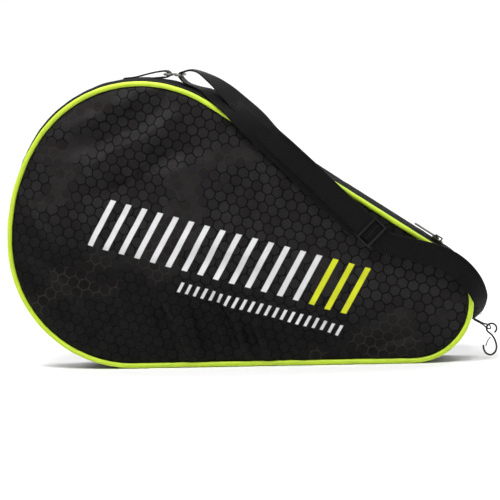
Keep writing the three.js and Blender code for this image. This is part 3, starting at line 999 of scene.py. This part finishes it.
UPPER_STRAP = (
    (226, STRAP_Y, 122, -90), (208, STRAP_Y, 140.7, -90), (190, STRAP_Y, 159.3, -90),
    (172, STRAP_Y, 178, -90), (152, STRAP_Y, 198, -90), (138, -22.5, 211, -84),
    (126, -18, 225, -68), (112, -13, 239, -50), (98, -8, 253, -32), (85, -4, 263.5, -15),
    (74, -1, 270, 0), (65, 0, 272, 0), (59.8, 0, 270.9, 0), (57, 0, 270.1, 0),
    (55.9, 0, 268, 0), (56.8, 0, 265.6, 0), (59.4, 0, 262.4, 0), (63, 0, 259.6, 0),
    (70, 0, 256.8, 0), (80, -3, 253, 12), (92, -10.5, 246.5, 32), (105, -17, 237, 55),
    (118, -20.5, 224, 76), (131, RETURN_Y, 211, 90), (145, RETURN_Y, 197, 90),
    (161, RETURN_Y, 180, 90), (180, RETURN_Y, 160.5, 90), (198, RETURN_Y, 142, 90),
    (214, RETURN_Y, 125.5, 90),
)
LOWER_STRAP = (
    (226, STRAP_Y, 122, 90), (232, STRAP_Y, 115.8, 90), (240, STRAP_Y, 111.4, 90),
    (249, STRAP_Y, 108.6, 90), (260, STRAP_Y, 105.6, 90), (281, -24.8, 99.5, 88),
    (296, -24.2, 92, 80), (307.6, -22.6, 81.6, 66), (316, -16.4, 69, 52),
    (319.8, -9.5, 57.3, 40), (319.4, -4.5, 49.3, 32), (317.8, -1.5, 43.4, 22),
    (315.8, 0, 39.4, 12),
)
TOP_LOOP = (
    (3, 0, 265.6, 0), (14, 0, 266, 0), (26, 0, 266.2, 0), (38, 0, 266.6, 0), (44, 0, 267, 0),
    (46.4, 0, 269.4, 0), (44, 0, 272, 0), (36, 0, 272, 0), (25, 0, 270.2, 0),
    (14, 0, 267.9, 0), (4, 0, 267.2, 0),
)


def make_straps(materials):
    """The shoulder strap in two pieces that meet under the tri-glide, and the top loop."""
    upper = ribbon("shoulder_strap_upper", UPPER_STRAP, WEBBING_WIDTH, WEBBING_THICK,
                   materials["webbing"])
    stand_in(upper, "webbing", None, "strap_hook_end", "strap_middle", "strap_return_layer")
    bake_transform(upper)
    lower = ribbon("shoulder_strap_lower", LOWER_STRAP, WEBBING_WIDTH, WEBBING_THICK,
                   materials["webbing"])
    stand_in(lower, "webbing", None, "strap_sewn_end")
    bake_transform(lower)
    loop = ribbon("top_loop_webbing", TOP_LOOP, 13, 1.5, materials["loop_tape"], rib=0.12)
    stand_in(loop, "webbing", "front_cover", "top_loop")
    make_sewn_boxes(materials)


def make_sewn_boxes(materials):
    """The stitched box that holds the strap's end on the gusset."""
    upper_edge, lower_edge = (np.array(LOWER_STRAP[k][:3]) for k in (-3, -1))
    along = unit(lower_edge - upper_edge)
    twist = math.radians(LOWER_STRAP[-2][3])
    outward = unit(np.cross(along, (0, 1, 0)))
    across = np.array([0, 1, 0]) * math.cos(twist) + outward * math.sin(twist)
    lift = unit(np.cross(along, across))
    lift = lift * np.sign(lift[0])
    centre = np.array(LOWER_STRAP[-2][:3]) + lift * (WEBBING_THICK / 2 + 0.2)
    lower = box_stitch("strap_end_stitches", centre, along, across, lift, 6.5, 14,
                       materials["thread"])
    stand_in(lower, "webbing", "front_cover")


# ---- hooks ---------------------------------------------------------------------------------
def turned(points, origin, angle):
    """Points (x, y, z) in a group turned about Y by `angle` and placed at the origin."""
    turn = math.radians(angle)
    return [(origin[0] + x * math.cos(turn) + z * math.sin(turn), y + origin[1],
             origin[2] - x * math.sin(turn) + z * math.cos(turn)) for x, y, z in points]


def rounded(points, steps=6):
    """The same bent wire with its corners rounded off."""
    return spline(points, steps)[:, :3]


def make_snap_hook(materials):
    half, origin = 8.6, (42.8, 0, 269.5)
    body = [(1.4, half, 0), (0.6, half - 0.3, 0), (0, half - 1.2, 0), (0, 0, 0),
            (0, 1 - half, 0), (1, -half, 0), (3.2, -half, 0), (5.4, -half, 0),
            (6.4, 1 - half, 0), (6.4, 0, 0), (6.4, half - 1.8, 0)]
    gate = [(2, half, 0), (4, half, 0), (6.2, half, 0)]
    reach = WEBBING_WIDTH / 2 + 2.2
    eye = [(10.8, 0, 0), (10.8, reach - 1, 0), (11.8, reach, 0), (13.2, reach, 0),
           (14.6, reach, 0), (15.6, reach - 1, 0), (15.6, 0, 0), (15.6, 1 - reach, 0),
           (14.6, -reach, 0), (13.2, -reach, 0), (11.8, -reach, 0), (10.8, 1 - reach, 0),
           (10.8, -0.2, 0)]
    for name, node, route, radius, ride in (
            ("snap_hook_frame", "snap_hook_body", body, HOOK_WIRE, "snap_hook"),
            ("snap_hook_spring_gate", "snap_hook_gate", gate, HOOK_GATE_WIRE, "snap_gate"),
            ("snap_hook_eye_bar", "snap_hook_strap_eye", eye, HOOK_WIRE, "front_cover")):
        piece = wire(name, rounded(turned(route, origin, 5)), radius, materials["metal"])
        stand_in(piece, "dark_metal", ride, node)
    dress("snap_hook_swivel_post", materials["metal"], 0.3)


def dress(node, material, bevel):
    """Gives a CAD piece that stays in sight its material and softened edges."""
    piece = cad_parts[node]
    piece.data.materials.clear()
    piece.data.materials.append(material)
    for face in piece.data.polygons:
        face.use_smooth = True
    edges = piece.modifiers.new("softened_edges", "BEVEL")
    edges.width = bevel / 1000
    edges.segments = 3
    edges.limit_method = "ANGLE"
    edges.angle_limit = math.radians(35)
    edges.harden_normals = True


FENCE_PEAR = ((328.9, 21.6), (331.2, 17.8), (332.6, 13.4), (332.9, 9.6), (331.4, 5.4),
              (327.6, 3.0), (323.6, 4.4), (321.6, 7.8), (321.2, 11.2))


def make_fence_hook(materials):
    """One wire makes the eye and the pear-shaped hook. A thin spring wire closes it."""
    x, z, radius = FENCE_EYE
    eye = [(x + radius * math.cos(math.radians(a)), 0, z + radius * math.sin(math.radians(a)))
           for a in range(-58, 241, 8)]
    pear = spline([(a, 0, c) for a, c in FENCE_PEAR], 8)
    body = wire("fence_hook_wire", rounded([*eye, *pear[1:]], 2), FENCE_WIRE, materials["wire"])
    knob = wire("fence_hook_tip", [(321.1, 0, 11.0), (321.1, 0, 11.8), (321.1, 0, 12.4)],
                [FENCE_WIRE, FENCE_WIRE, 0.45], materials["wire"])
    body = joined("fence_hook_wire", [body, knob])
    gate = wire("fence_hook_spring", rounded([(327.9, 0, 19.6), (325.2, 0, 16),
                                              (323.4, 0, 11.4)]), FENCE_GATE_WIRE, materials["wire"])
    for piece, node, ride in ((body, "fence_hook_body", "fence_hook"),
                              (gate, "fence_hook_gate", "fence_gate")):
        stand_in(piece, "black_wire", ride, node)
    make_fence_tab(materials)


def make_fence_tab(materials):
    """A narrow tape folded round the eye and sewn flat where it leaves the seam."""
    slope = math.radians(30)
    x, z, radius = FENCE_EYE
    origin = (x - radius * math.cos(slope), 0, z + radius * math.sin(slope))
    route = [(-13.6, 0, 0.5), (-9, 0, 0.5), (-4, 0, 0.6), (-1, 0, 1.3), (1.8, 0, 1.6),
             (3.75, 0, 0), (1.8, 0, -1.6), (-1, 0, -1.3), (-4, 0, -0.6), (-9, 0, -0.5),
             (-13.6, 0, -0.5)]
    placed = [(*p, 0) for p in turned(route, origin, 30)]
    tab = ribbon("fence_hook_tab", placed, 4.6, 0.8, materials["loop_tape"], rib=0.08)
    stand_in(tab, "webbing", "front_cover", "fence_hook_loop")


def dress_small_parts(materials):
    dress("tri_glide", materials["plastic"], 0.6)
    dress("zip_slider", materials["metal"], 0.35)
    dress("zip_pull", materials["metal"], 0.45)
    for node in ("front_zip_top_stop", "rear_zip_top_stop", "zip_bottom_stop"):
        dress(node, materials["metal"], 0.25)


# ---- stage ---------------------------------------------------------------------------------
def stage_material():
    nodes = Nodes("white_stage")
    speckle = nodes.noise(nodes.object_millimetres(), 0.5, 3.0)
    colour = nodes.mix(speckle, grey(0.90), grey(0.92))
    return nodes.finish(Base_Color=colour, Roughness=0.85, Specular_IOR_Level=0.1)


def make_stage():
    """A white floor that curves up into a white wall behind the case."""
    mesh = bpy.data.meshes.new("backdrop")
    rows = [(y, 0.0) for y in (-4.0, 0.0, 1.2)]
    rows += [(1.2 + 0.8 * math.sin(a), 0.8 - 0.8 * math.cos(a))
             for a in (math.radians(d) for d in range(6, 91, 6))]
    rows.append((2.0, 5.0))
    points = [(x, y, z) for y, z in rows for x in (-5, 5)]
    mesh.from_pydata(points, [], grid_faces(len(rows), 2))
    mesh.materials.append(stage_material())
    mesh.polygons.foreach_set("use_smooth", [True] * len(mesh.polygons))
    backdrop = bpy.data.objects.new("backdrop", mesh)
    bpy.context.scene.collection.objects.link(backdrop)


def area_light(name, location, target, size, power):
    data = bpy.data.lights.new(name, "AREA")
    data.shape = "RECTANGLE"
    data.size, data.size_y = size
    data.energy = power
    lamp = bpy.data.objects.new(name, data)
    lamp.location = location
    towards = Vector(target) - Vector(location)
    lamp.rotation_euler = towards.to_track_quat("-Z", "Y").to_euler()
    bpy.context.scene.collection.objects.link(lamp)


def make_lights():
    area_light("top_light", (-0.1, -0.42, 1.0), (0, 0.0, 0.12), (0.9, 0.25), 11)
    area_light("left_light", (-1.1, -0.22, 0.95), (0, 0, 0.14), (0.25, 0.5), 5.0)
    area_light("right_light", (1.2, -0.25, 0.8), (0.1, 0, 0.12), (0.3, 0.6), 2.4)
    area_light("wall_light", (0, 0.6, 2.2), (0, 1.6, 0.3), (3.5, 0.8), 56)
    world = bpy.data.worlds.new("studio")
    world.use_nodes = True
    world.node_tree.nodes["Background"].inputs["Color"].default_value = (1, 1, 1, 1)
    world.node_tree.nodes["Background"].inputs["Strength"].default_value = 0.05
    bpy.context.scene.world = world
    bpy.context.scene.view_settings.view_transform = "Standard"


CAMERA_TARGET = Vector((0.0012, 0.005, 0.1054))
CAMERA_DISTANCE = 1.527
CAMERA_LENS = 119.7
CAMERA_AZIMUTH, CAMERA_ELEVATION, CAMERA_ROLL = (math.radians(a) for a in (8.7, 8.0, -2.9))


def make_camera():
    """The photograph's view: from slightly right of the front, a little above, and rolled."""
    data = bpy.data.cameras.new("camera")
    data.lens = CAMERA_LENS
    data.sensor_width = 36
    camera = bpy.data.objects.new("camera", data)
    flat = math.cos(CAMERA_ELEVATION)
    back = Vector((math.sin(CAMERA_AZIMUTH) * flat, -math.cos(CAMERA_AZIMUTH) * flat,
                   math.sin(CAMERA_ELEVATION)))
    turn = back.to_track_quat("Z", "Y").to_matrix().to_4x4()
    camera.matrix_world = (Matrix.Translation(CAMERA_TARGET + CAMERA_DISTANCE * back) @ turn
                           @ Matrix.Rotation(CAMERA_ROLL, 4, "Z"))
    bpy.context.scene.collection.objects.link(camera)
    bpy.context.scene.camera = camera


def main():
    materials = make_materials()
    make_shell(-1, "front", "front_cover", FRONT_FOLDS, 4.5, 1.7, materials)
    make_shell(1, "rear", "rear_shell", REAR_FOLDS, 3.0, 5.2, materials)
    make_rim(materials)
    make_straps(materials)
    make_snap_hook(materials)
    make_fence_hook(materials)
    dress_small_parts(materials)
    make_stage()
    make_lights()
    make_camera()


main()
